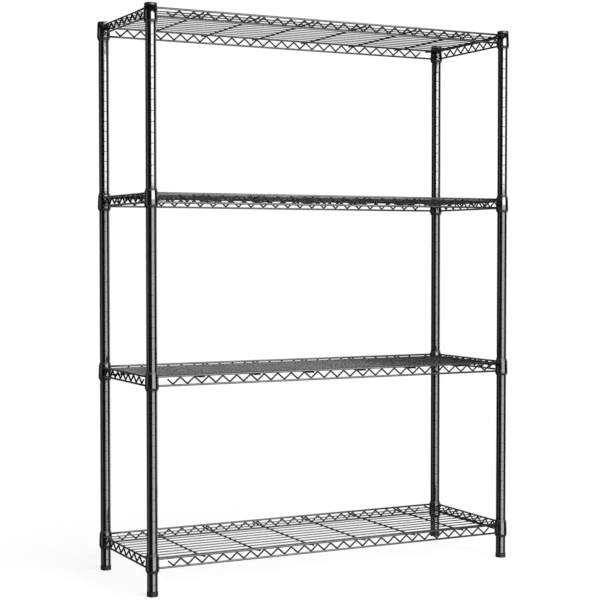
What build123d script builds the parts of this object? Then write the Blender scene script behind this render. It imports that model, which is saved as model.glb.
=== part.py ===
"""Four-tier wire shelving rack: grooved tube posts, split plastic sleeves, welded wire shelves.

The frame has +Z up, +X along the rack's width and +Y towards its rear. The origin is the
centre of the footprint on the floor. All sizes are in millimetres.
"""

from build123d import *
from math import atan2, cos, sqrt
import os

# Rack
POST_SPACING_X = 978.0
POST_SPACING_Y = 323.0
TIER_COUNT = 4
FIRST_COLLAR_Z = 61.5
GROOVE_PITCH = 25.0
GROOVES_PER_TIER = 17
TIER_SPACING = GROOVE_PITCH * GROOVES_PER_TIER

# Post tubes
POST_RADIUS = 12.7
POST_WALL = 1.2
POST_BORE_RADIUS = POST_RADIUS - POST_WALL
POST_BOTTOM_Z = 12.0
GROOVE_DEPTH = 0.4
GROOVE_WIDTH = 1.6
GROOVE_ABOVE_COLLAR = 16.0

# Corner collars, heights counted from the collar's lower edge
COLLAR_HEIGHT = 32.6
COLLAR_LOW_RADIUS = 16.6
COLLAR_TOP_RADIUS = 15.4
COLLAR_WALL = 1.2

# Split sleeves, heights counted from the collar's lower edge
SLEEVE_BOTTOM = -6.6
SLEEVE_TOP = 38.0
SLEEVE_TOP_RADIUS = 13.3
SLEEVE_FOOT_RADIUS = 13.6
SLEEVE_LIP_RADIUS = 16.2
SLEEVE_LIP_DROP = 0.3
SLEEVE_BORE_RADIUS = POST_RADIUS + 0.05
RIDGE_RADIUS = 12.5
RIDGE_HALF_WIDTH = 0.6
WEDGE_GAP = 0.03
SPLIT_GAP = 0.2

# Shelf wires, heights counted from the collar's lower edge
RIM_RADIUS = 2.4
RIB_RADIUS = 2.0
DECK_RADIUS = 1.4
TRUSS_RADIUS = 2.0
RIM_OUTBOARD = 11.0
TOP_RIM_Z = 27.0
LOWER_RIM_Z = 5.5
WELD_SINK = 0.2
DECK_WIRE_COUNT = 11
DECK_END_GAP = 0.1

# Zigzag truss wires
ZIGZAG_PITCH = 36.2
ZIGZAG_BEND_RADIUS = 4.0
LONG_ZIGZAG_PEAK = -422.3
LONG_ZIGZAG_SPAN = (-454.0, 443.0)
END_ZIGZAG_PEAK = 0.0
END_ZIGZAG_SPAN = (-139.0, 139.0)
END_ZIGZAG_OUTBOARD = 0.5

# Cross ribs, six evenly spaced and one more near the right-hand posts
RIB_COUNT = 6
RIB_PITCH = 4 * ZIGZAG_PITCH
END_RIB_X = 462.0
RIB_CRANK_LENGTH = 12.0
RIB_CRANK_RADIUS = 8.0

# Post caps
CAP_RADIUS = 14.9
CAP_TOP_RISE = 1.8
CAP_EDGE_RADIUS = 1.5
CAP_SKIRT_WALL = 0.6
CAP_PLUG_LENGTH = 9.0
CAP_PLUG_WALL = 1.4
CAP_CLEARANCE = 0.4

# Levelling feet
FOOT_RADIUS = 13.4
PAD_HEIGHT = 5.4
PAD_EDGE_RADIUS = 1.6
RING_BOTTOM_Z = 6.2
RING_TOP_Z = 11.5
RING_FLUTES = 18
RING_FLUTE_RADIUS = 0.9
STUD_RADIUS = 4.0
STUD_BOTTOM_Z = 2.4
STUD_TOP_Z = 38.0
INSERT_TOP_Z = 42.0
THREAD_CLEARANCE = 0.05
PLUG_CLEARANCE = 0.03

# Worked out from the sizes above
HALF_X = POST_SPACING_X / 2
HALF_Y = POST_SPACING_Y / 2
CORNERS = {
    "front_left": (-HALF_X, -HALF_Y),
    "front_right": (HALF_X, -HALF_Y),
    "rear_left": (-HALF_X, HALF_Y),
    "rear_right": (HALF_X, HALF_Y),
}
COLLAR_ZS = [FIRST_COLLAR_Z + TIER_SPACING * tier for tier in range(TIER_COUNT)]
POST_TOP_Z = COLLAR_ZS[-1] + SLEEVE_TOP
FIRST_GROOVE_Z = FIRST_COLLAR_Z + GROOVE_ABOVE_COLLAR - 2 * GROOVE_PITCH
RIM_X = HALF_X + RIM_OUTBOARD
RIM_Y = HALF_Y + RIM_OUTBOARD
END_ZIGZAG_X = RIM_X + END_ZIGZAG_OUTBOARD
DECK_REACH = END_ZIGZAG_X - TRUSS_RADIUS - DECK_END_GAP
DECK_Z = TOP_RIM_Z - sqrt(RIM_RADIUS**2 - (RIM_X - DECK_REACH)**2) - DECK_RADIUS + WELD_SINK
RIB_Z = DECK_Z - DECK_RADIUS - RIB_RADIUS + WELD_SINK
RIB_END_Z = TOP_RIM_Z - RIM_RADIUS - RIB_RADIUS + WELD_SINK
ZIGZAG_LOW_Z = LOWER_RIM_Z + RIM_RADIUS + TRUSS_RADIUS - WELD_SINK
ZIGZAG_HIGH_Z = TOP_RIM_Z - RIM_RADIUS - TRUSS_RADIUS + WELD_SINK
COLLAR_SLOPE = (COLLAR_TOP_RADIUS - COLLAR_LOW_RADIUS) / COLLAR_HEIGHT


def turned(profile):
    """A closed outline of (radius, height) points, turned about the Z axis."""
    outline = Polyline(*[(radius, 0, height) for radius, height in profile], close=True)
    return revolve(make_face(outline), Axis.Z)


def outer_circle(shape, highest):
    """The highest or lowest of a turned shape's widest circular edges."""
    widest = shape.edges().filter_by(GeomType.CIRCLE).group_by(SortBy.RADIUS)[-1]
    return widest.sort_by(Axis.Z)[-1 if highest else 0]


def at_corners(shape, z=0.0):
    """One copy of a shape on each post's axis."""
    return [Pos(x, y, z) * shape for x, y in CORNERS.values()]


def rod(start, end, radius):
    """A straight round wire between two points."""
    path = Edge.make_line(start, end)
    return sweep(Plane(origin=start, z_dir=path % 0) * Circle(radius), path=path)


def collar_radius(height):
    """Outer radius of a corner collar at a height above its lower edge."""
    return COLLAR_LOW_RADIUS + COLLAR_SLOPE * height


def post():
    """A tube with one rolled groove at each pitch."""
    outline = [(POST_BORE_RADIUS, POST_BOTTOM_Z), (POST_RADIUS, POST_BOTTOM_Z)]
    half = GROOVE_WIDTH / 2
    floor_radius = POST_RADIUS - GROOVE_DEPTH
    groove_z = FIRST_GROOVE_Z
    while groove_z + half < POST_TOP_Z:
        outline.append((POST_RADIUS, groove_z - half))
        outline.append((floor_radius, groove_z - half / 3))
        outline.append((floor_radius, groove_z + half / 3))
        outline.append((POST_RADIUS, groove_z + half))
        groove_z += GROOVE_PITCH
    outline.append((POST_RADIUS, POST_TOP_Z))
    outline.append((POST_BORE_RADIUS, POST_TOP_Z))
    return turned(outline)


def sleeve_halves():
    """The front and rear halves of the tapered clip that wedges into a collar."""
    inset = COLLAR_WALL + WEDGE_GAP
    full = turned([
        (SLEEVE_BORE_RADIUS, SLEEVE_BOTTOM),
        (SLEEVE_FOOT_RADIUS, SLEEVE_BOTTOM),
        (SLEEVE_LIP_RADIUS, -SLEEVE_LIP_DROP - 0.8),
        (SLEEVE_LIP_RADIUS, -SLEEVE_LIP_DROP),
        (collar_radius(-SLEEVE_LIP_DROP) - inset, -SLEEVE_LIP_DROP),
        (collar_radius(COLLAR_HEIGHT) - inset, COLLAR_HEIGHT),
        (SLEEVE_TOP_RADIUS, SLEEVE_TOP),
        (SLEEVE_BORE_RADIUS, SLEEVE_TOP),
        (SLEEVE_BORE_RADIUS, GROOVE_ABOVE_COLLAR + RIDGE_HALF_WIDTH),
        (RIDGE_RADIUS, GROOVE_ABOVE_COLLAR + RIDGE_HALF_WIDTH / 3),
        (RIDGE_RADIUS, GROOVE_ABOVE_COLLAR - RIDGE_HALF_WIDTH / 3),
        (SLEEVE_BORE_RADIUS, GROOVE_ABOVE_COLLAR - RIDGE_HALF_WIDTH),
    ])
    height = SLEEVE_TOP - SLEEVE_BOTTOM
    middle = (SLEEVE_TOP + SLEEVE_BOTTOM) / 2
    wide = 4 * SLEEVE_LIP_RADIUS
    halves = []
    for side in (-1, 1):
        offset = side * (wide + SPLIT_GAP) / 2
        halves.append(full & (Pos(0, offset, middle) * Box(wide, wide, height + 1)))
    return halves


def collar():
    """The conical steel collar welded into each corner of a shelf."""
    return turned([
        (COLLAR_LOW_RADIUS - COLLAR_WALL, 0),
        (COLLAR_LOW_RADIUS, 0),
        (COLLAR_TOP_RADIUS, COLLAR_HEIGHT),
        (COLLAR_TOP_RADIUS - COLLAR_WALL, COLLAR_HEIGHT),
    ])


def rim_wires(height):
    """Two long and two short wires whose ends are shaped to the collars' cones."""
    cone = Pos(0, 0, COLLAR_HEIGHT / 2) * Cone(COLLAR_LOW_RADIUS, COLLAR_TOP_RADIUS, COLLAR_HEIGHT)
    cones = at_corners(cone)
    wires = []
    for side in (-1, 1):
        wires.append(rod((-HALF_X, side * RIM_Y, height), (HALF_X, side * RIM_Y, height), RIM_RADIUS))
        wires.append(rod((side * RIM_X, -HALF_Y, height), (side * RIM_X, HALF_Y, height), RIM_RADIUS))
    return [wire - cones for wire in wires]


def zigzag_rise():
    """Height between the bends' corner points, whose rounding brings the wire back to the rims."""
    wanted = ZIGZAG_HIGH_Z - ZIGZAG_LOW_Z
    rise = wanted
    for _ in range(8):
        slope = atan2(rise, ZIGZAG_PITCH / 2)
        rise = wanted + 2 * ZIGZAG_BEND_RADIUS * (1 / cos(slope) - 1)
    return rise


def zigzag(peak, span):
    """A zigzag wire in the XZ plane that fills a span of X, with one upper bend at peak."""
    rise = zigzag_rise()
    middle = (ZIGZAG_HIGH_Z + ZIGZAG_LOW_Z) / 2

    def height(x):
        phase = abs((x - peak) / ZIGZAG_PITCH - round((x - peak) / ZIGZAG_PITCH))
        return middle + rise * (0.5 - 2 * phase)

    start, end = span
    bend = peak - ZIGZAG_PITCH / 2 * int((peak - start) / (ZIGZAG_PITCH / 2))
    xs = [start]
    while bend < end:
        xs.append(bend)
        bend += ZIGZAG_PITCH / 2
    xs.append(end)
    path = FilletPolyline(*[(x, 0, height(x)) for x in xs], radius=ZIGZAG_BEND_RADIUS)
    return sweep(Plane(origin=path @ 0, z_dir=path % 0) * Circle(TRUSS_RADIUS), path=path)


def truss_wires():
    """The four zigzag wires that stand between the lower and the top rims."""
    long_wire = zigzag(LONG_ZIGZAG_PEAK, LONG_ZIGZAG_SPAN)
    end_wire = Rot(0, 0, 90) * zigzag(END_ZIGZAG_PEAK, END_ZIGZAG_SPAN)
    return [
        Pos(0, -RIM_Y, 0) * long_wire,
        Pos(0, RIM_Y, 0) * long_wire,
        Pos(-END_ZIGZAG_X, 0, 0) * end_wire,
        Pos(END_ZIGZAG_X, 0, 0) * end_wire,
    ]


def deck_wires():
    """The thin wires that run the length of the shelf and end under the short top rims."""
    pitch = 2 * RIM_Y / (DECK_WIRE_COUNT + 1)
    wires = []
    for index in range(DECK_WIRE_COUNT):
        y = -RIM_Y + pitch * (index + 1)
        wires.append(rod((-DECK_REACH, y, DECK_Z), (DECK_REACH, y, DECK_Z), DECK_RADIUS))
    return wires


def cross_ribs():
    """The thick wires under the deck wires, cranked up at both ends to meet the long top rims."""
    outer_bend = RIM_Y - 2 * RIM_RADIUS - RIB_CRANK_RADIUS / 2
    bends = [
        (RIM_Y + RIM_RADIUS, RIB_END_Z),
        (outer_bend, RIB_END_Z),
        (outer_bend - RIB_CRANK_LENGTH, RIB_Z),
    ]
    points = [(0, -y, z) for y, z in bends] + [(0, y, z) for y, z in reversed(bends)]
    path = FilletPolyline(*points, radius=RIB_CRANK_RADIUS)
    rib = sweep(Plane(origin=path @ 0, z_dir=path % 0) * Circle(RIB_RADIUS), path=path)
    first = -RIB_PITCH * (RIB_COUNT - 1) / 2
    xs = [first + RIB_PITCH * index for index in range(RIB_COUNT)] + [END_RIB_X]
    return [Pos(x, 0, 0) * rib for x in xs]


def cap():
    """The wide domed cap that plugs the tube and covers the top of the sleeve."""
    skirt_bottom = POST_TOP_Z - SLEEVE_TOP + COLLAR_HEIGHT + CAP_CLEARANCE
    skirt_bore = CAP_RADIUS - CAP_SKIRT_WALL
    shoulder_z = POST_TOP_Z - 1.6
    edge_z = POST_TOP_Z + CAP_TOP_RISE / 2
    plug_radius = POST_BORE_RADIUS - PLUG_CLEARANCE
    plug_z = POST_TOP_Z - CAP_PLUG_LENGTH
    blank = turned([
        (0, POST_TOP_Z),
        (plug_radius - CAP_PLUG_WALL, POST_TOP_Z),
        (plug_radius - CAP_PLUG_WALL, plug_z),
        (plug_radius, plug_z),
        (plug_radius, POST_TOP_Z),
        (SLEEVE_TOP_RADIUS + CAP_CLEARANCE, POST_TOP_Z),
        (SLEEVE_TOP_RADIUS + CAP_CLEARANCE, shoulder_z),
        (skirt_bore, shoulder_z),
        (skirt_bore, skirt_bottom),
        (CAP_RADIUS, skirt_bottom),
        (CAP_RADIUS, edge_z),
        (0, POST_TOP_Z + CAP_TOP_RISE),
    ])
    return fillet(outer_circle(blank, highest=True), CAP_EDGE_RADIUS)


def foot_insert():
    """The plug pressed into the bottom of a post, which holds the stud's thread."""
    bore = STUD_RADIUS + THREAD_CLEARANCE
    plug = POST_BORE_RADIUS - PLUG_CLEARANCE
    return turned([
        (bore, POST_BOTTOM_Z),
        (plug, POST_BOTTOM_Z),
        (plug, INSERT_TOP_Z),
        (bore, INSERT_TOP_Z),
    ])


def foot_stud():
    """The threaded stud, modelled as a plain shank with a chamfered tip."""
    return turned([
        (0, STUD_BOTTOM_Z),
        (STUD_RADIUS, STUD_BOTTOM_Z),
        (STUD_RADIUS, STUD_TOP_Z - 1),
        (STUD_RADIUS - 1, STUD_TOP_Z),
        (0, STUD_TOP_Z),
    ])


def foot_ring():
    """The fluted finger ring fixed on the stud, which turns it."""
    ring = turned([
        (STUD_RADIUS, RING_BOTTOM_Z),
        (FOOT_RADIUS - 0.5, RING_BOTTOM_Z),
        (FOOT_RADIUS, RING_BOTTOM_Z + 0.5),
        (FOOT_RADIUS, RING_TOP_Z - 0.5),
        (FOOT_RADIUS - 0.5, RING_TOP_Z),
        (STUD_RADIUS, RING_TOP_Z),
    ])
    flute_centre = FOOT_RADIUS + RING_FLUTE_RADIUS / 2
    flute = Cylinder(RING_FLUTE_RADIUS, 2 * RING_TOP_Z)
    flutes = [Rot(0, 0, 360 * index / RING_FLUTES) * Pos(flute_centre, 0, 0) * flute
              for index in range(RING_FLUTES)]
    return ring - flutes


def foot_pad():
    """The pad that stands on the floor, with a blind socket for the stud's end."""
    socket = STUD_RADIUS + THREAD_CLEARANCE
    pad = turned([
        (0, 0),
        (FOOT_RADIUS, 0),
        (FOOT_RADIUS, PAD_HEIGHT),
        (socket, PAD_HEIGHT),
        (socket, STUD_BOTTOM_Z),
        (0, STUD_BOTTOM_Z),
    ])
    return fillet(outer_circle(pad, highest=False), PAD_EDGE_RADIUS)


def write(name, shapes):
    """One STEP file per node, holding each of the node's solids."""
    solids = [solid for shape in shapes for solid in shape.solids()]
    export_step(Compound(children=solids, label=name), f"parts/{name}.step")


os.makedirs("parts", exist_ok=True)

corner_pieces = {
    "post": post(),
    "post_cap": cap(),
    "foot_insert": foot_insert(),
    "foot_stud": foot_stud(),
    "foot_ring": foot_ring(),
    "foot_pad": foot_pad(),
}
for piece_name, piece in corner_pieces.items():
    for corner_name, (corner_x, corner_y) in CORNERS.items():
        write(f"{piece_name}_{corner_name}", [Pos(corner_x, corner_y, 0) * piece])

front_half, rear_half = sleeve_halves()
shelf_pieces = {
    "corner_collars": at_corners(collar()),
    "top_rim_wires": rim_wires(TOP_RIM_Z),
    "lower_rim_wires": rim_wires(LOWER_RIM_Z),
    "truss_wires": truss_wires(),
    "deck_wires": deck_wires(),
    "cross_ribs": cross_ribs(),
    "sleeve_front_halves": at_corners(front_half),
    "sleeve_rear_halves": at_corners(rear_half),
}
for tier, collar_z in enumerate(COLLAR_ZS, start=1):
    for piece_name, solids in shelf_pieces.items():
        write(f"shelf_{tier}_{piece_name}", [Pos(0, 0, collar_z) * solid for solid in solids])
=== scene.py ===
"""Wire shelving rack: smooth meshes, welds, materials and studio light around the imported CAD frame."""

import math
import random

import bmesh
import bpy
from mathutils import Matrix, Vector


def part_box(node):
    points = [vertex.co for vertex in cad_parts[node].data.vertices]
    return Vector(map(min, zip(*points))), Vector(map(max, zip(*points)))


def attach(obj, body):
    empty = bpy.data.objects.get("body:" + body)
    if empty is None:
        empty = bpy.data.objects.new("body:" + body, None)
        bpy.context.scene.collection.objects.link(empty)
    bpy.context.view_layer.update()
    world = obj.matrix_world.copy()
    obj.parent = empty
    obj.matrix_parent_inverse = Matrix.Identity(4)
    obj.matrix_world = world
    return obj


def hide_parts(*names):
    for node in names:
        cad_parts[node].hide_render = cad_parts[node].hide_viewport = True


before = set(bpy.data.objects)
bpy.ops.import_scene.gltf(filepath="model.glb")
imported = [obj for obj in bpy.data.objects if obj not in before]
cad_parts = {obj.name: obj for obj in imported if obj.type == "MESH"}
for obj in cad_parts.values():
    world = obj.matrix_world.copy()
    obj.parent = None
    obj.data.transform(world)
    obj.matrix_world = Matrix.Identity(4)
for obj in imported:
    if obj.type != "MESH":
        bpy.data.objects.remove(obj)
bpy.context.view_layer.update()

MM = 0.001
CORNERS = ("front_left", "front_right", "rear_left", "rear_right")
TIERS = (1, 2, 3, 4)

# Post tube and its rolled grooves
POST_WALL = 1.2 * MM
POST_EDGE_ROUND = 0.3 * MM
POST_EDGE_RING = 1.2 * MM
GROOVE_PITCH = 25 * MM
GROOVE_DEPTH = 0.32 * MM
GROOVE_HALF_WIDTH = 0.8 * MM
GROOVE_ABOVE_COLLAR = 16 * MM
# A groove from its side to its middle, as (distance in half widths, share of the depth).
# The two outer points keep the shading flat between the grooves.
GROOVE_SHAPE = ((2.2, 0.0), (1.3, 0.0), (1.0, 0.0), (0.75, 0.12), (0.45, 0.75), (0.2, 1.0))

# Collars and sleeves
COLLAR_WALL = 1.2 * MM
COLLAR_TAPER = 1.2 * MM
COLLAR_EDGE_ROUND = 0.55 * MM
WEDGE_GAP = 0.03 * MM
SLEEVE_BORE_GAP = 0.05 * MM
SLEEVE_TOP_WALL = 0.6 * MM
SLEEVE_FOOT_WALL = 0.9 * MM
SLEEVE_LIP_GAP = 0.3 * MM
SLEEVE_LIP_HEIGHT = 0.8 * MM
SLEEVE_EDGE_ROUND = 0.3 * MM
SPLIT_GAP = 0.2 * MM

# Rims, deck wires and cross ribs
RIM_BURY = 1.4 * MM
RIM_END_DEPTH = 0.75 * COLLAR_WALL
DECK_WIRE_COUNT = 11
RIB_COUNT = 6
RIB_RADIUS = 2 * MM
RIB_CRANK_LENGTH = 12 * MM
RIB_CRANK_RADIUS = 8 * MM
RIB_END_ROUND = 0.12

# Zigzag truss wires, each placed by one of its peaks and the span between its cut ends
ZIGZAG_PITCH = 36.2 * MM
ZIGZAG_BEND_RADIUS = 4 * MM
LONG_ZIGZAG_PEAK = -422.3 * MM
LONG_ZIGZAG_SPAN = (-454 * MM, 443 * MM)
END_ZIGZAG_PEAK = 0.0
END_ZIGZAG_SPAN = (-139 * MM, 139 * MM)
RIB_PITCH = 4 * ZIGZAG_PITCH

# Welds: beads around the rims' ends, and nuggets given by their half-sizes along X, Y and Z
WELD_SEED = 40
BEAD_RADIUS = 0.75 * MM
BEAD_LUMPS = (0.82, 1.2)
NUGGET_LUMPS = (-0.1, 0.1)
DECK_NUGGET = (1.8 * MM, 1.8 * MM, 0.7 * MM)
DECK_END_NUGGET = (1.3 * MM, 1.7 * MM, 0.8 * MM)
DECK_END_INSET = 0.7 * MM
RIM_NUGGET = (2.3 * MM, 2.3 * MM, 0.7 * MM)
LONG_ZIGZAG_NUGGET = (2.6 * MM, 1.5 * MM, 0.7 * MM)
END_ZIGZAG_NUGGET = (1.5 * MM, 2.6 * MM, 0.7 * MM)
DECK_SINK = 0.2 * MM
RIM_SINK = 0.1 * MM

# The feet's studs
THREAD_PITCH = 1.25 * MM
THREAD_DEPTH = 0.6 * MM
THREAD_START = 0.6 * MM
THREAD_STOP = 0.8 * MM
THREAD_RUN_OUT = 1.5 * MM
PLAIN_LENGTH = 2 * MM
STUD_END_INSET = 1.3 * MM

# Camera, floor and surroundings
CAMERA_PLACE = (-1.7300, -3.3577, 0.8061)
CAMERA_YAW = math.radians(26.975)
CAMERA_PITCH = math.radians(-1.927)
CAMERA_LENS = 88.44
CAMERA_SENSOR = 36
FLOOR_REACH = 1.5
FLOOR_FADE = (0.6, 1.0)
FLOOR_GREY = 0.25
FLOOR_GLOW = 0.80
WORLD_STOPS = [(0.0, 0.01), (0.6, 0.03), (0.85, 0.25), (1.0, 0.6)]

# Mesh density
POST_SEGMENTS = 72
COLLAR_SEGMENTS = 72
RIM_SIDES = 20
DECK_SIDES = 14
TRUSS_SIDES = 14
WIRE_POINT_SPACING = 60 * MM
BEND_STEPS = 7
THREAD_SEGMENTS = 28
THREAD_ROWS_PER_TURN = 4
NUGGET_BANDS = 5
NUGGET_SIDES = 10
BEAD_POINTS = 20
BEAD_SIDES = 8


# ---------------------------------------------------------------- mesh helpers

def mesh_object(name, bm):
    """A smooth-shaded object from a bmesh, with every face turned outwards."""
    bmesh.ops.recalc_face_normals(bm, faces=bm.faces)
    mesh = bpy.data.meshes.new(name)
    bm.to_mesh(mesh)
    bm.free()
    mesh.shade_smooth()
    piece = bpy.data.objects.new(name, mesh)
    bpy.context.scene.collection.objects.link(piece)
    return piece


def bridge(bm, ring_a, ring_b):
    """Quads between two closed rings of vertices."""
    count = len(ring_a)
    for i in range(count):
        j = (i + 1) % count
        bm.faces.new((ring_a[i], ring_a[j], ring_b[j], ring_b[i]))


def lathe(bm, profile, segments, centre):
    """Turns a closed outline of (radius, z) points about a vertical axis."""
    rings = []
    for radius, z in profile:
        ring = []
        for i in range(segments):
            angle = 2 * math.pi * i / segments
            x = centre[0] + radius * math.cos(angle)
            y = centre[1] + radius * math.sin(angle)
            ring.append(bm.verts.new((x, y, z)))
        rings.append(ring)
    for i, ring in enumerate(rings):
        bridge(bm, ring, rings[(i + 1) % len(rings)])


def soften(profile, radius, steps=3):
    """Rounds every corner of a closed outline by at most radius, and by less than half of each side."""
    points = [Vector(p) for p in profile]
    softened = []
    for i, corner in enumerate(points):
        before = points[i - 1] - corner
        after = points[(i + 1) % len(points)] - corner
        reach = min(radius, before.length / 2.2, after.length / 2.2)
        start = corner + before.normalized() * reach
        end = corner + after.normalized() * reach
        for step in range(steps + 1):
            t = step / steps
            softened.append(start * (1 - t) ** 2 + corner * 2 * t * (1 - t) + end * t ** 2)
    return [(p.x, p.y) for p in softened]


def wire(bm, path, radius, sides, plane_normal, end_round=0.25):
    """A round wire along points that lie in one plane, with cut ends softened by a share of the radius."""
    normal = Vector(plane_normal)
    points = [Vector(p) for p in path]
    tangents = []
    for i, point in enumerate(points):
        ahead = points[min(i + 1, len(points) - 1)]
        behind = points[max(i - 1, 0)]
        tangents.append((ahead - behind).normalized())
    inset = radius * end_round
    bevel = ((0.0, 1.0), (0.3, 0.3), (1.0, 0.0))
    start, start_way = points[0], tangents[0]
    end, end_way = points[-1], tangents[-1]
    stations = []
    for back, loss in bevel:
        stations.append((start + start_way * inset * back, start_way, radius - inset * loss))
    stations += [(p, t, radius) for p, t in zip(points[1:-1], tangents[1:-1])]
    for back, loss in reversed(bevel):
        stations.append((end - end_way * inset * back, end_way, radius - inset * loss))
    rings = []
    for centre, tangent, ring_radius in stations:
        side = tangent.cross(normal).normalized()
        ring = []
        for i in range(sides):
            angle = 2 * math.pi * i / sides
            offset = normal * math.cos(angle) + side * math.sin(angle)
            ring.append(bm.verts.new(centre + offset * ring_radius))
        rings.append(ring)
    for ring_a, ring_b in zip(rings, rings[1:]):
        bridge(bm, ring_a, ring_b)
    bm.faces.new(list(reversed(rings[0])))
    bm.faces.new(rings[-1])


def straight(start, end):
    """Evenly spaced points between two ends."""
    start = Vector(start)
    end = Vector(end)
    count = max(2, int((end - start).length / WIRE_POINT_SPACING))
    return [start.lerp(end, i / count) for i in range(count + 1)]


def rounded_path(corners, radius):
    """A polyline with each inner corner replaced by an arc."""
    points = [corners[0]]
    for before, corner, after in zip(corners, corners[1:], corners[2:]):
        incoming = (corner - before).normalized()
        outgoing = (after - corner).normalized()
        turn = incoming.angle(outgoing)
        reach = radius * math.tan(turn / 2)
        start = corner - incoming * reach
        bisector = (outgoing - incoming).normalized()
        centre = corner + bisector * radius / math.cos(turn / 2)
        axis = incoming.cross(outgoing).normalized()
        for step in range(BEND_STEPS + 1):
            spin = Matrix.Rotation(turn * step / BEND_STEPS, 3, axis)
            points.append(centre + spin @ (start - centre))
    points.append(corners[-1])
    return points


def nugget(bm, centre, size, rng):
    """A small resistance-weld nugget: a lumpy ellipsoid with half-sizes size."""
    lumps = [1 + rng.uniform(*NUGGET_LUMPS) for _ in range(NUGGET_SIDES)]
    rows = []
    for band in range(1, NUGGET_BANDS):
        latitude = math.pi * band / NUGGET_BANDS
        ring = []
        for i, lump in enumerate(lumps):
            longitude = 2 * math.pi * i / NUGGET_SIDES
            spread = math.sin(latitude) * lump
            x = centre[0] + size[0] * spread * math.cos(longitude)
            y = centre[1] + size[1] * spread * math.sin(longitude)
            z = centre[2] + size[2] * math.cos(latitude)
            ring.append(bm.verts.new((x, y, z)))
        rows.append(ring)
    for ring_a, ring_b in zip(rows, rows[1:]):
        bridge(bm, ring_a, ring_b)
    for ring, sign in ((rows[0], 1), (rows[-1], -1)):
        pole = bm.verts.new((centre[0], centre[1], centre[2] + sign * size[2]))
        for i in range(NUGGET_SIDES):
            bm.faces.new((pole, ring[i], ring[(i + 1) % NUGGET_SIDES]))


def closed_bead(bm, loop, outward, radius, rng):
    """A lumpy bead along a closed loop; outward gives the direction away from the loop's middle."""
    count = len(loop)
    rings = []
    lumps = [rng.uniform(*BEAD_LUMPS) for _ in range(count // 2)]
    for i, point in enumerate(loop):
        tangent = (loop[(i + 1) % count] - loop[i - 1]).normalized()
        side = outward[i]
        up = tangent.cross(side).normalized()
        size = radius * (lumps[(i // 2) % len(lumps)] + lumps[((i + 1) // 2) % len(lumps)]) / 2
        ring = []
        for k in range(BEAD_SIDES):
            angle = 2 * math.pi * k / BEAD_SIDES
            ring.append(bm.verts.new(point + (side * math.cos(angle) + up * math.sin(angle)) * size))
        rings.append(ring)
    for i in range(count):
        bridge(bm, rings[i], rings[(i + 1) % count])


# ---------------------------------------------------------------- sizes from the frame

def middle(node):
    """The centre of a node's box."""
    low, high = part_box(node)
    return (low + high) / 2


def half_size(node):
    """Half of a node's box along each axis."""
    low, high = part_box(node)
    return (high - low) / 2


class Shelf:
    """The places of one tier's wires, read from its CAD nodes."""

    def __init__(self, tier):
        self.tier = tier
        self.body = f"shelf_{tier}"
        post = middle("post_front_left")
        self.half_x = abs(post.x)
        self.half_y = abs(post.y)
        self.post_radius = half_size("post_front_left").x
        low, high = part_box(self.node("corner_collars"))
        self.collar_low = low.z
        self.collar_top = high.z
        self.collar_low_radius = high.x - self.half_x
        self.collar_top_radius = self.collar_low_radius - COLLAR_TAPER
        rims = half_size(self.node("top_rim_wires"))
        self.rim_radius = rims.z
        self.rim_x = rims.x - self.rim_radius
        self.rim_y = rims.y - self.rim_radius
        self.top_rim_z = middle(self.node("top_rim_wires")).z
        self.lower_rim_z = middle(self.node("lower_rim_wires")).z
        deck = half_size(self.node("deck_wires"))
        self.deck_radius = deck.z
        self.deck_reach = deck.x
        self.deck_z = middle(self.node("deck_wires")).z
        low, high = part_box(self.node("cross_ribs"))
        self.rib_z = low.z + RIB_RADIUS
        self.rib_end_z = high.z - RIB_RADIUS
        self.rib_reach = high.y
        self.end_rib_x = high.x - RIB_RADIUS
        low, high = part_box(self.node("truss_wires"))
        self.truss_radius = high.y - self.rim_y
        self.end_truss_x = high.x - self.truss_radius
        self.zigzag_low = low.z + self.truss_radius
        self.zigzag_high = high.z - self.truss_radius

    def node(self, name):
        """The full name of one of this tier's nodes."""
        return f"shelf_{self.tier}_{name}"

    def collar_radius(self, z):
        """The collars' outer radius at a height."""
        share = (z - self.collar_low) / (self.collar_top - self.collar_low)
        return self.collar_low_radius + (self.collar_top_radius - self.collar_low_radius) * share

    def corners(self):
        """The (x, y) places of the four collars."""
        return [(sx * self.half_x, sy * self.half_y) for sx in (-1, 1) for sy in (-1, 1)]

    def rib_xs(self):
        """Evenly spaced ribs, and one more near the right-hand posts."""
        first = -RIB_PITCH * (RIB_COUNT - 1) / 2
        inner = [first + RIB_PITCH * i for i in range(RIB_COUNT)]
        return inner + [self.end_rib_x]

    def deck_ys(self):
        """Deck wires that share the space between the long rims evenly."""
        pitch = 2 * self.rim_y / (DECK_WIRE_COUNT + 1)
        return [-self.rim_y + pitch * (i + 1) for i in range(DECK_WIRE_COUNT)]

    def zigzag_corner_rise(self):
        """Height between the zigzag's sharp corner points, which rounding brings back to the rims."""
        wanted = self.zigzag_high - self.zigzag_low
        rise = wanted
        # The rise and the slope depend on each other, and a few rounds settle both.
        for _ in range(8):
            slope = math.atan2(rise, ZIGZAG_PITCH / 2)
            rise = wanted + 2 * ZIGZAG_BEND_RADIUS * (1 / math.cos(slope) - 1)
        return rise

    def zigzag(self, peak, span):
        """Points (along, z) of a zigzag and its bends as (along, is_high) pairs."""
        rise = self.zigzag_corner_rise()
        centre = (self.zigzag_high + self.zigzag_low) / 2

        def height(along):
            turns = (along - peak) / ZIGZAG_PITCH
            return centre + rise * (0.5 - 2 * abs(turns - round(turns)))

        start, end = span
        half_pitch = ZIGZAG_PITCH / 2
        index = -int((peak - start) / half_pitch)
        bends = []
        while peak + index * half_pitch < end:
            bends.append((peak + index * half_pitch, index % 2 == 0))
            index += 1
        alongs = [start] + [along for along, _ in bends] + [end]
        return [(along, height(along)) for along in alongs], bends


# ---------------------------------------------------------------- materials

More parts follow.
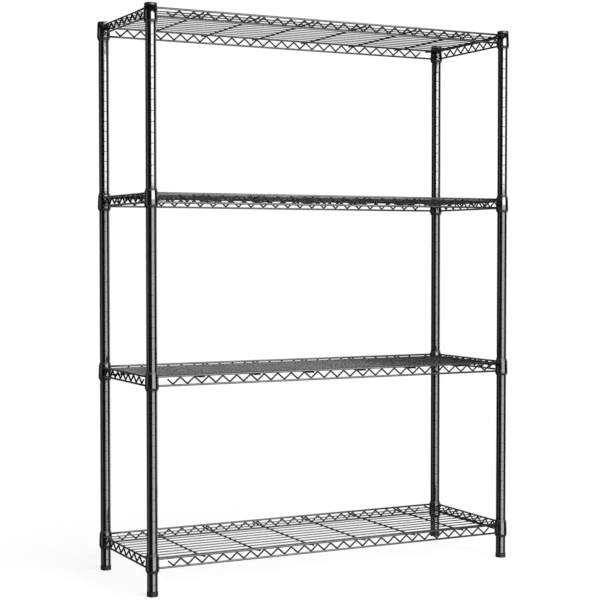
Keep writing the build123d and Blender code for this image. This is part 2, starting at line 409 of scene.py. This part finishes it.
def new_material(name):
    """A material with an empty node tree."""
    material = bpy.data.materials.new(name)
    material.use_nodes = True
    tree = material.node_tree
    tree.nodes.clear()
    return material, tree


def add_node(tree, kind, **values):
    """A shader node with its attributes and input values set by name."""
    node = tree.nodes.new(kind)
    for key, value in values.items():
        if hasattr(node, key):
            setattr(node, key, value)
        else:
            node.inputs[key.replace("_", " ")].default_value = value
    return node


def ramp(tree, source, stops):
    """A colour ramp of (position, grey or colour) stops, fed from a socket."""
    node = tree.nodes.new("ShaderNodeValToRGB")
    elements = node.color_ramp.elements
    while len(elements) < len(stops):
        elements.new(0.5)
    for element, (position, value) in zip(elements, stops):
        element.position = position
        colour = (value, value, value) if isinstance(value, (int, float)) else value
        element.color = (*colour, 1)
    tree.links.new(source, node.inputs["Fac"])
    return node.outputs["Color"]


def noise(tree, vector, scale, detail=2.0, roughness=0.5):
    """Noise of a given fineness, as a grey value."""
    node = add_node(tree, "ShaderNodeTexNoise", Scale=scale, Detail=detail, Roughness=roughness)
    tree.links.new(vector, node.inputs["Vector"])
    return node.outputs["Fac"]


def mix_colour(tree, factor, colour, over):
    """A socket's colour with a plain colour laid over it; sockets 6 and 7 are the colours A and B."""
    node = add_node(tree, "ShaderNodeMix", data_type="RGBA")
    node.inputs[7].default_value = (*over, 1)
    tree.links.new(factor, node.inputs["Factor"])
    tree.links.new(colour, node.inputs[6])
    return node.outputs[2]


def principled_surface(tree, colour, roughness, bump, **values):
    """The shader and output that every solid material ends with."""
    shader = add_node(tree, "ShaderNodeBsdfPrincipled", **values)
    tree.links.new(colour, shader.inputs["Base Color"])
    tree.links.new(roughness, shader.inputs["Roughness"])
    tree.links.new(bump.outputs["Normal"], shader.inputs["Normal"])
    output = tree.nodes.new("ShaderNodeOutputMaterial")
    tree.links.new(shader.outputs["BSDF"], output.inputs["Surface"])


def coat_material(name, dark, light, roughness, peel, peel_scale, coat=0.0, dust=0.05, specular=0.5):
    """Black coated surface: mottled grey, orange-peel bump, uneven gloss, dust on top and rubbed edges."""
    material, tree = new_material(name)
    coords = tree.nodes.new("ShaderNodeTexCoord").outputs["Object"]
    geometry = tree.nodes.new("ShaderNodeNewGeometry")

    mottling = noise(tree, coords, 38, detail=4)
    colour = ramp(tree, mottling, [(0.3, dark), (0.75, light)])

    edges = ramp(tree, geometry.outputs["Pointiness"], [(0.52, 0.0), (0.6, 1.0)])
    scuffs = noise(tree, coords, 240, detail=5, roughness=0.65)
    rubbed = add_node(tree, "ShaderNodeMath", operation="MULTIPLY")
    tree.links.new(edges, rubbed.inputs[0])
    tree.links.new(ramp(tree, scuffs, [(0.5, 0.0), (0.7, 0.5)]), rubbed.inputs[1])
    colour = mix_colour(tree, rubbed.outputs[0], colour, tuple(4 * c for c in light))

    normal = tree.nodes.new("ShaderNodeSeparateXYZ")
    tree.links.new(geometry.outputs["Normal"], normal.inputs[0])
    settled = ramp(tree, normal.outputs["Z"], [(0.55, 0.0), (1.0, dust)])
    colour = mix_colour(tree, settled, colour, (0.32, 0.31, 0.29))

    gloss = ramp(tree, noise(tree, coords, 90, detail=3), [(0.3, roughness[0]), (0.72, roughness[1])])
    bump = add_node(tree, "ShaderNodeBump", Strength=peel, Distance=0.4 * MM)
    tree.links.new(noise(tree, coords, peel_scale), bump.inputs["Height"])
    principled_surface(
        tree, colour, gloss, bump, Coat_Weight=coat, Coat_Roughness=0.04, Specular_IOR_Level=specular)
    return material


def zinc_material(name):
    """Zinc-plated steel with a faint yellow cast and fine turning marks."""
    material, tree = new_material(name)
    coords = tree.nodes.new("ShaderNodeTexCoord").outputs["Object"]
    plating = noise(tree, coords, 160, detail=4)
    colour = ramp(tree, plating, [(0.3, (0.42, 0.42, 0.43)), (0.7, (0.62, 0.61, 0.57))])
    gloss = ramp(tree, noise(tree, coords, 500, detail=3), [(0.3, 0.24), (0.7, 0.42)])
    bump = add_node(tree, "ShaderNodeBump", Strength=0.2, Distance=0.2 * MM)
    tree.links.new(noise(tree, coords, 1500), bump.inputs["Height"])
    principled_surface(tree, colour, gloss, bump, Metallic=1.0)
    return material


MATERIALS = {
    # Posts and collars: glossy and near black
    "post_coat": coat_material(
        "post_coat",
        dark=(0.002, 0.002, 0.0021),
        light=(0.005, 0.005, 0.0053),
        roughness=(0.07, 0.11),
        peel=0.02,
        peel_scale=700,
        coat=0.5,
        dust=0.01,
    ),
    # Rims, deck wires and welds
    "wire_coat": coat_material(
        "wire_coat",
        dark=(0.004, 0.004, 0.0043),
        light=(0.009, 0.009, 0.0095),
        roughness=(0.18, 0.25),
        peel=0.04,
        peel_scale=900,
        coat=0.4,
        dust=0.02,
    ),
    # Zigzags and ribs: a darker, less shiny copy of the wire coat, with painted shade that keeps them dark
    # against the deck
    "shaded_wire_coat": coat_material(
        "shaded_wire_coat",
        dark=(0.002, 0.002, 0.0022),
        light=(0.005, 0.005, 0.0054),
        roughness=(0.2, 0.3),
        peel=0.04,
        peel_scale=900,
        dust=0.01,
        specular=0.12,
    ),
    "sleeve_plastic": coat_material(
        "sleeve_plastic",
        dark=(0.009, 0.009, 0.009),
        light=(0.016, 0.016, 0.016),
        roughness=(0.3, 0.42),
        peel=0.16,
        peel_scale=1800,
    ),
    "cap_plastic": coat_material(
        "cap_plastic",
        dark=(0.008, 0.008, 0.008),
        light=(0.014, 0.014, 0.014),
        roughness=(0.28, 0.4),
        peel=0.2,
        peel_scale=2200,
    ),
    "foot_plastic": coat_material(
        "foot_plastic",
        dark=(0.004, 0.004, 0.004),
        light=(0.009, 0.009, 0.009),
        roughness=(0.3, 0.42),
        peel=0.2,
        peel_scale=1600,
        dust=0.01,
        specular=0.25,
    ),
    "zinc_steel": zinc_material("zinc_steel"),
}


def paint(piece, look):
    """Gives an object one material in place of any that it has."""
    piece.data.materials.clear()
    piece.data.materials.append(MATERIALS[look])


def finish_piece(piece, body, look, *nodes):
    """Gives a new piece its material and body, and hides the CAD nodes that it stands for."""
    paint(piece, look)
    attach(piece, body)
    if nodes:
        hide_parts(*nodes)


# ---------------------------------------------------------------- posts, collars and sleeves

def build_post(corner):
    """A post tube with rounded ends and a rounded rolled groove at each pitch."""
    node = f"post_{corner}"
    low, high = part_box(node)
    centre = (low + high) / 2
    radius = (high.x - low.x) / 2
    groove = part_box("shelf_1_corner_collars")[0].z + GROOVE_ABOVE_COLLAR
    # Down to the lowest groove that is clear of the tube's end
    while groove - GROOVE_PITCH > low.z + GROOVE_PITCH / 3:
        groove -= GROOVE_PITCH
    edge = [
        (radius, POST_EDGE_RING),
        (radius, POST_EDGE_ROUND),
        (radius - POST_EDGE_ROUND, 0.0),
        (radius - POST_WALL, 0.0),
    ]
    outline = [(reach, low.z + inset) for reach, inset in reversed(edge)]
    shape = [(-place, depth) for place, depth in GROOVE_SHAPE] + list(reversed(GROOVE_SHAPE))
    while groove + GROOVE_HALF_WIDTH < high.z:
        for place, depth in shape:
            outline.append((radius - GROOVE_DEPTH * depth, groove + GROOVE_HALF_WIDTH * place))
        groove += GROOVE_PITCH
    outline += [(reach, high.z - inset) for reach, inset in edge]
    bm = bmesh.new()
    lathe(bm, outline, POST_SEGMENTS, (centre.x, centre.y))
    finish_piece(mesh_object(f"{node}_tube", bm), "frame", "post_coat", node)


def build_collars(shelf):
    """Four conical collars with rounded edges."""
    node = shelf.node("corner_collars")
    outline = soften([
        (shelf.collar_low_radius - COLLAR_WALL, shelf.collar_low),
        (shelf.collar_low_radius, shelf.collar_low),
        (shelf.collar_top_radius, shelf.collar_top),
        (shelf.collar_top_radius - COLLAR_WALL, shelf.collar_top),
    ], COLLAR_EDGE_ROUND)
    bm = bmesh.new()
    for centre in shelf.corners():
        lathe(bm, outline, COLLAR_SEGMENTS, centre)
    finish_piece(mesh_object(f"{node}_mesh", bm), shelf.body, "post_coat", node)


def half_turn(bm, profile, centre, side):
    """Half of a turned shape on one side of the XZ plane, closed at its split faces."""
    steps = COLLAR_SEGMENTS // 2
    sections = []
    for i in range(steps + 1):
        angle = math.pi * i / steps
        section = []
        for radius, z in profile:
            x = centre[0] + radius * math.cos(angle)
            y = centre[1] + side * (radius * math.sin(angle))
            if i in (0, steps):
                y += side * SPLIT_GAP / 2
            section.append(bm.verts.new((x, y, z)))
        sections.append(section)
    for section_a, section_b in zip(sections, sections[1:]):
        bridge(bm, section_a, section_b)
    bm.faces.new(sections[0])
    bm.faces.new(list(reversed(sections[-1])))


def build_sleeves(shelf):
    """The front and rear sleeve halves at each corner."""
    bottom, top = (corner.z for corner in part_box(shelf.node("sleeve_front_halves")))
    lip_radius = half_size(shelf.node("sleeve_front_halves")).x - shelf.half_x
    bore = shelf.post_radius + SLEEVE_BORE_GAP
    lip_z = shelf.collar_low - SLEEVE_LIP_GAP
    inset = COLLAR_WALL + WEDGE_GAP
    outline = soften([
        (bore, bottom),
        (bore + SLEEVE_FOOT_WALL, bottom),
        (lip_radius, lip_z - SLEEVE_LIP_HEIGHT),
        (lip_radius, lip_z),
        (shelf.collar_radius(lip_z) - inset, lip_z),
        (shelf.collar_top_radius - inset, shelf.collar_top),
        (bore + SLEEVE_TOP_WALL, top),
        (bore, top),
    ], SLEEVE_EDGE_ROUND, steps=2)
    for half, side in (("front", -1), ("rear", 1)):
        node = shelf.node(f"sleeve_{half}_halves")
        bm = bmesh.new()
        for centre in shelf.corners():
            half_turn(bm, outline, centre, side)
        finish_piece(mesh_object(f"{node}_mesh", bm), "frame", "sleeve_plastic", node)


# ---------------------------------------------------------------- shelf wires

def rim_end(shelf, along_half, across_offset, z):
    """How far from the shelf's middle a rim wire's centre line meets the collars."""
    reach = math.sqrt(shelf.collar_radius(z) ** 2 - across_offset ** 2)
    return along_half - reach


def cut_to_collars(bm, shelf):
    """Pulls the rim wires' ends back until they stop inside the collars' walls."""
    for vert in bm.verts:
        dx = abs(vert.co.x) - shelf.half_x
        dy = abs(vert.co.y) - shelf.half_y
        reach = shelf.collar_radius(vert.co.z) - RIM_END_DEPTH
        if math.hypot(dx, dy) >= reach:
            continue
        if dx < dy:
            vert.co.x = math.copysign(shelf.half_x - math.sqrt(reach ** 2 - dy ** 2), vert.co.x)
        else:
            vert.co.y = math.copysign(shelf.half_y - math.sqrt(reach ** 2 - dx ** 2), vert.co.y)


def build_rims(shelf, name, z):
    """Two long and two short rim wires, each running a little way into the collars' walls."""
    node = shelf.node(name)
    end_x = rim_end(shelf, shelf.half_x, shelf.rim_y - shelf.half_y, z) + RIM_BURY
    end_y = rim_end(shelf, shelf.half_y, shelf.rim_x - shelf.half_x, z) + RIM_BURY
    bm = bmesh.new()
    for side in (-1, 1):
        y = side * shelf.rim_y
        x = side * shelf.rim_x
        wire(bm, straight((-end_x, y, z), (end_x, y, z)), shelf.rim_radius, RIM_SIDES, (0, 0, 1))
        wire(bm, straight((x, -end_y, z), (x, end_y, z)), shelf.rim_radius, RIM_SIDES, (0, 0, 1))
    cut_to_collars(bm, shelf)
    finish_piece(mesh_object(f"{node}_mesh", bm), shelf.body, "wire_coat", node)


def build_deck(shelf):
    """Thin wires along the length of the shelf."""
    node = shelf.node("deck_wires")
    bm = bmesh.new()
    for y in shelf.deck_ys():
        path = straight((-shelf.deck_reach, y, shelf.deck_z), (shelf.deck_reach, y, shelf.deck_z))
        wire(bm, path, shelf.deck_radius, DECK_SIDES, (0, 0, 1))
    finish_piece(mesh_object(f"{node}_mesh", bm), shelf.body, "wire_coat", node)


def build_ribs(shelf):
    """Cross ribs under the deck wires, cranked up to meet the long top rims."""
    node = shelf.node("cross_ribs")
    outer_bend = shelf.rim_y - 2 * shelf.rim_radius - RIB_CRANK_RADIUS / 2
    half = [
        (shelf.rib_reach, shelf.rib_end_z),
        (outer_bend, shelf.rib_end_z),
        (outer_bend - RIB_CRANK_LENGTH, shelf.rib_z),
    ]
    bm = bmesh.new()
    for x in shelf.rib_xs():
        front = [Vector((x, -y, z)) for y, z in half]
        rear = [Vector((x, y, z)) for y, z in reversed(half)]
        path = rounded_path(front + rear, RIB_CRANK_RADIUS)
        wire(bm, path, RIB_RADIUS, RIM_SIDES, (1, 0, 0), RIB_END_ROUND)
    # The ribs take the darker copy of the wire coat, with painted shade.
    finish_piece(mesh_object(f"{node}_mesh", bm), shelf.body, "shaded_wire_coat", node)


def build_truss(shelf):
    """Zigzag wires between the lower and the top rims on all four sides."""
    node = shelf.node("truss_wires")
    long_points, _ = shelf.zigzag(LONG_ZIGZAG_PEAK, LONG_ZIGZAG_SPAN)
    end_points, _ = shelf.zigzag(END_ZIGZAG_PEAK, END_ZIGZAG_SPAN)
    bm = bmesh.new()
    for side in (-1, 1):
        corners = [Vector((along, side * shelf.rim_y, z)) for along, z in long_points]
        path = rounded_path(corners, ZIGZAG_BEND_RADIUS)
        wire(bm, path, shelf.truss_radius, TRUSS_SIDES, (0, 1, 0))
    for side in (-1, 1):
        corners = [Vector((side * shelf.end_truss_x, along, z)) for along, z in end_points]
        path = rounded_path(corners, ZIGZAG_BEND_RADIUS)
        wire(bm, path, shelf.truss_radius, TRUSS_SIDES, (1, 0, 0))
    # The zigzags take the darker copy of the wire coat, with painted shade.
    finish_piece(mesh_object(f"{node}_mesh", bm), shelf.body, "shaded_wire_coat", node)


# ---------------------------------------------------------------- welds

def collar_weld_loop(shelf, sign_x, sign_y, z, lengthwise):
    """The closed curve where a rim wire enters a collar's cone, and its outward directions."""
    outboard = shelf.rim_y - shelf.half_y if lengthwise else shelf.rim_x - shelf.half_x
    loop = []
    outward = []
    for i in range(BEAD_POINTS):
        angle = 2 * math.pi * i / BEAD_POINTS
        height = z + shelf.rim_radius * math.sin(angle)
        across = outboard + shelf.rim_radius * math.cos(angle)
        along = math.sqrt(shelf.collar_radius(height) ** 2 - across ** 2)
        if lengthwise:
            x = sign_x * (shelf.half_x - along)
            y = sign_y * (shelf.half_y + across)
            direction = Vector((0, sign_y * math.cos(angle), math.sin(angle)))
        else:
            x = sign_x * (shelf.half_x + across)
            y = sign_y * (shelf.half_y - along)
            direction = Vector((sign_x * math.cos(angle), 0, math.sin(angle)))
        loop.append(Vector((x, y, height)))
        outward.append(direction)
    return loop, outward


def collar_welds(bm, shelf, rng):
    """Beads where the rims meet the collars."""
    for sign_x in (-1, 1):
        for sign_y in (-1, 1):
            for z in (shelf.top_rim_z, shelf.lower_rim_z):
                for lengthwise in (True, False):
                    loop, outward = collar_weld_loop(shelf, sign_x, sign_y, z, lengthwise)
                    closed_bead(bm, loop, outward, BEAD_RADIUS, rng)


def deck_welds(bm, shelf, rng):
    """Nuggets where ribs cross the deck wires and meet the rims, and where deck wires end."""
    deck_contact = shelf.rib_z + RIB_RADIUS - DECK_SINK
    rim_contact = shelf.rib_end_z + RIB_RADIUS - RIM_SINK
    for x in shelf.rib_xs():
        for y in shelf.deck_ys():
            nugget(bm, (x, y, deck_contact), DECK_NUGGET, rng)
        for side in (-1, 1):
            nugget(bm, (x, side * shelf.rim_y, rim_contact), RIM_NUGGET, rng)
    end_x = shelf.deck_reach - DECK_END_INSET
    end_z = shelf.deck_z + shelf.deck_radius - RIM_SINK
    for y in shelf.deck_ys():
        for side in (-1, 1):
            nugget(bm, (side * end_x, y, end_z), DECK_END_NUGGET, rng)


def zigzag_welds(bm, shelf, rng):
    """Nuggets where the zigzags' bends touch the rims."""
    top = shelf.zigzag_high + shelf.truss_radius
    bottom = shelf.zigzag_low - shelf.truss_radius
    _, long_bends = shelf.zigzag(LONG_ZIGZAG_PEAK, LONG_ZIGZAG_SPAN)
    for along, is_high in long_bends:
        for side in (-1, 1):
            place = (along, side * shelf.rim_y, top if is_high else bottom)
            nugget(bm, place, LONG_ZIGZAG_NUGGET, rng)
    _, end_bends = shelf.zigzag(END_ZIGZAG_PEAK, END_ZIGZAG_SPAN)
    for along, is_high in end_bends:
        for side in (-1, 1):
            place = (side * shelf.end_truss_x, along, top if is_high else bottom)
            nugget(bm, place, END_ZIGZAG_NUGGET, rng)


def build_welds(shelf):
    """All of one tier's welds."""
    rng = random.Random(WELD_SEED + shelf.tier)
    bm = bmesh.new()
    collar_welds(bm, shelf, rng)
    deck_welds(bm, shelf, rng)
    zigzag_welds(bm, shelf, rng)
    finish_piece(mesh_object(shelf.node("welds"), bm), shelf.body, "wire_coat")


# ---------------------------------------------------------------- feet and caps

def build_stud(corner):
    """The foot's stud with its real helical thread, which runs out near the top."""
    node = f"foot_stud_{corner}"
    low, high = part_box(node)
    centre = (low + high) / 2
    radius = (high.x - low.x) / 2
    step = THREAD_PITCH / THREAD_ROWS_PER_TURN
    rows = int((high.z - low.z - PLAIN_LENGTH) / step)
    bm = bmesh.new()
    rings = []
    for row in range(rows + 1):
        z = low.z + THREAD_START + row * step
        fade = min(1.0, (high.z - THREAD_STOP - z) / THREAD_RUN_OUT)
        run_out = THREAD_DEPTH * (1 - max(fade, 0.0))
        ring = []
        for i in range(THREAD_SEGMENTS):
            turn = i / THREAD_SEGMENTS
            crest = abs(((row / THREAD_ROWS_PER_TURN - turn) % 1) - 0.5) * 2
            reach = radius - (THREAD_DEPTH * (1 - crest) + run_out)
            angle = 2 * math.pi * turn
            x = centre.x + reach * math.cos(angle)
            y = centre.y + reach * math.sin(angle)
            ring.append(bm.verts.new((x, y, z)))
        rings.append(ring)
    for ring_a, ring_b in zip(rings, rings[1:]):
        bridge(bm, ring_a, ring_b)
    for ring, z in ((rings[0], low.z), (rings[-1], high.z)):
        inner = []
        for vertex in ring:
            offset = Vector((vertex.co.x - centre.x, vertex.co.y - centre.y))
            offset = offset.normalized() * (radius - STUD_END_INSET)
            inner.append(bm.verts.new((centre.x + offset.x, centre.y + offset.y, z)))
        bridge(bm, ring, inner)
        bm.faces.new(inner)
    finish_piece(mesh_object(f"{node}_thread", bm), f"foot_screw_{corner}", "zinc_steel", node)


def dress_cad_nodes():
    """Materials for the CAD pieces whose shape is already right."""
    looks = {
        "post_cap": "cap_plastic",
        "foot_insert": "foot_plastic",
        "foot_ring": "foot_plastic",
        "foot_pad": "foot_plastic",
    }
    for prefix, look in looks.items():
        for corner in CORNERS:
            paint(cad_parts[f"{prefix}_{corner}"], look)


# ---------------------------------------------------------------- stage

def mix_shaders(tree, factor, first, second, output_kind):
    """Two shaders mixed by a socket and sent to the output."""
    mixed = tree.nodes.new("ShaderNodeMixShader")
    tree.links.new(factor, mixed.inputs["Fac"])
    tree.links.new(first.outputs[0], mixed.inputs[1])
    tree.links.new(second.outputs[0], mixed.inputs[2])
    output = tree.nodes.new(output_kind)
    tree.links.new(mixed.outputs[0], output.inputs["Surface"])


def build_world():
    """A dark studio with a bright wall behind the rack; the camera itself sees pure white."""
    world = bpy.data.worlds.new("studio")
    bpy.context.scene.world = world
    world.use_nodes = True
    tree = world.node_tree
    tree.nodes.clear()
    coords = tree.nodes.new("ShaderNodeTexCoord").outputs["Generated"]
    facing = add_node(tree, "ShaderNodeVectorMath", operation="DOT_PRODUCT")
    facing.inputs[1].default_value = (math.sin(CAMERA_YAW), math.cos(CAMERA_YAW), 0)
    tree.links.new(coords, facing.inputs[0])
    lit = tree.nodes.new("ShaderNodeBackground")
    tree.links.new(ramp(tree, facing.outputs["Value"], WORLD_STOPS), lit.inputs["Color"])
    seen = add_node(tree, "ShaderNodeBackground", Color=(1, 1, 1, 1))
    camera_ray = tree.nodes.new("ShaderNodeLightPath").outputs["Is Camera Ray"]
    mix_shaders(tree, camera_ray, lit, seen, "ShaderNodeOutputWorld")


def floor_material():
    """A pale floor that keeps a faint shadow near the rack and fades to white around it."""
    material, tree = new_material("pale_floor")
    coords = tree.nodes.new("ShaderNodeTexCoord").outputs["Object"]
    distance = add_node(tree, "ShaderNodeVectorMath", operation="LENGTH")
    tree.links.new(coords, distance.inputs[0])
    fade = ramp(tree, distance.outputs["Value"], [(FLOOR_FADE[0], 0.0), (FLOOR_FADE[1], 1.0)])
    grey = (FLOOR_GREY, FLOOR_GREY, FLOOR_GREY, 1)
    matte = add_node(tree, "ShaderNodeBsdfPrincipled", Base_Color=grey, Roughness=0.9)
    glow = add_node(tree, "ShaderNodeEmission", Color=(1, 1, 1, 1), Strength=FLOOR_GLOW)
    near = tree.nodes.new("ShaderNodeAddShader")
    tree.links.new(matte.outputs[0], near.inputs[0])
    tree.links.new(glow.outputs[0], near.inputs[1])
    clear = tree.nodes.new("ShaderNodeBsdfTransparent")
    mix_shaders(tree, fade, near, clear, "ShaderNodeOutputMaterial")
    return material


def build_floor():
    """A square floor that reflections and shadow rays don't see."""
    bm = bmesh.new()
    corners = ((-1, -1), (1, -1), (1, 1), (-1, 1))
    bm.faces.new([bm.verts.new((FLOOR_REACH * x, FLOOR_REACH * y, 0)) for x, y in corners])
    floor = mesh_object("floor", bm)
    floor.data.materials.append(floor_material())
    floor.visible_glossy = False
    floor.visible_shadow = False


def soft_box(name, azimuth, height, width, tall, brightness, aim_height, distance=3.2):
    """A light panel that the camera doesn't see; azimuth 0 is on the camera's side and 90 on its right."""
    data = bpy.data.lights.new(name, "AREA")
    data.shape = "RECTANGLE"
    data.size = width
    data.size_y = tall
    data.energy = brightness * math.pi * width * tall
    light = bpy.data.objects.new(name, data)
    light.visible_camera = False
    bpy.context.scene.collection.objects.link(light)
    bearing = math.pi + CAMERA_YAW - math.radians(azimuth)
    place = Vector((math.sin(bearing) * distance, math.cos(bearing) * distance, height))
    light.location = place
    light.rotation_euler = (Vector((0, 0, aim_height)) - place).to_track_quat("-Z", "Y").to_euler()


def build_lights():
    """Panels that the posts mirror as upright strips, and two panels from above."""
    soft_box("key_right", azimuth=34, height=0.05, width=3.2, tall=2.1, brightness=6.5, aim_height=0.05)
    soft_box("key_right_upper", azimuth=34, height=1.6, width=3.2, tall=1.0, brightness=17, aim_height=1.6)
    soft_box("fill_left", azimuth=-72, height=0.55, width=1.7, tall=3.1, brightness=0.9, aim_height=0.55)
    soft_box("edge_right", azimuth=135, height=0.55, width=1.6, tall=3.1, brightness=1.8, aim_height=0.55)
    soft_box("top_right", azimuth=72, height=4.4, width=1.6, tall=1.6, brightness=7.0, aim_height=0.7)
    soft_box("top_back", azimuth=207, height=2.6, width=2.0, tall=0.9, brightness=3.0, aim_height=0.7,
             distance=3.4)


def build_camera():
    """The photographer's place, with colours shown as they are."""
    data = bpy.data.cameras.new("camera")
    data.lens = CAMERA_LENS
    data.sensor_width = CAMERA_SENSOR
    camera = bpy.data.objects.new("camera", data)
    camera.location = CAMERA_PLACE
    camera.rotation_euler = (math.pi / 2 + CAMERA_PITCH, 0, -CAMERA_YAW)
    bpy.context.scene.collection.objects.link(camera)
    bpy.context.scene.camera = camera
    bpy.context.scene.view_settings.view_transform = "Standard"


# ---------------------------------------------------------------- build everything

for corner in CORNERS:
    build_post(corner)
    build_stud(corner)
for tier in TIERS:
    shelf = Shelf(tier)
    build_collars(shelf)
    build_sleeves(shelf)
    build_rims(shelf, "top_rim_wires", shelf.top_rim_z)
    build_rims(shelf, "lower_rim_wires", shelf.lower_rim_z)
    build_deck(shelf)
    build_ribs(shelf)
    build_truss(shelf)
    build_welds(shelf)
dress_cad_nodes()
build_floor()
build_world()
build_lights()
build_camera()
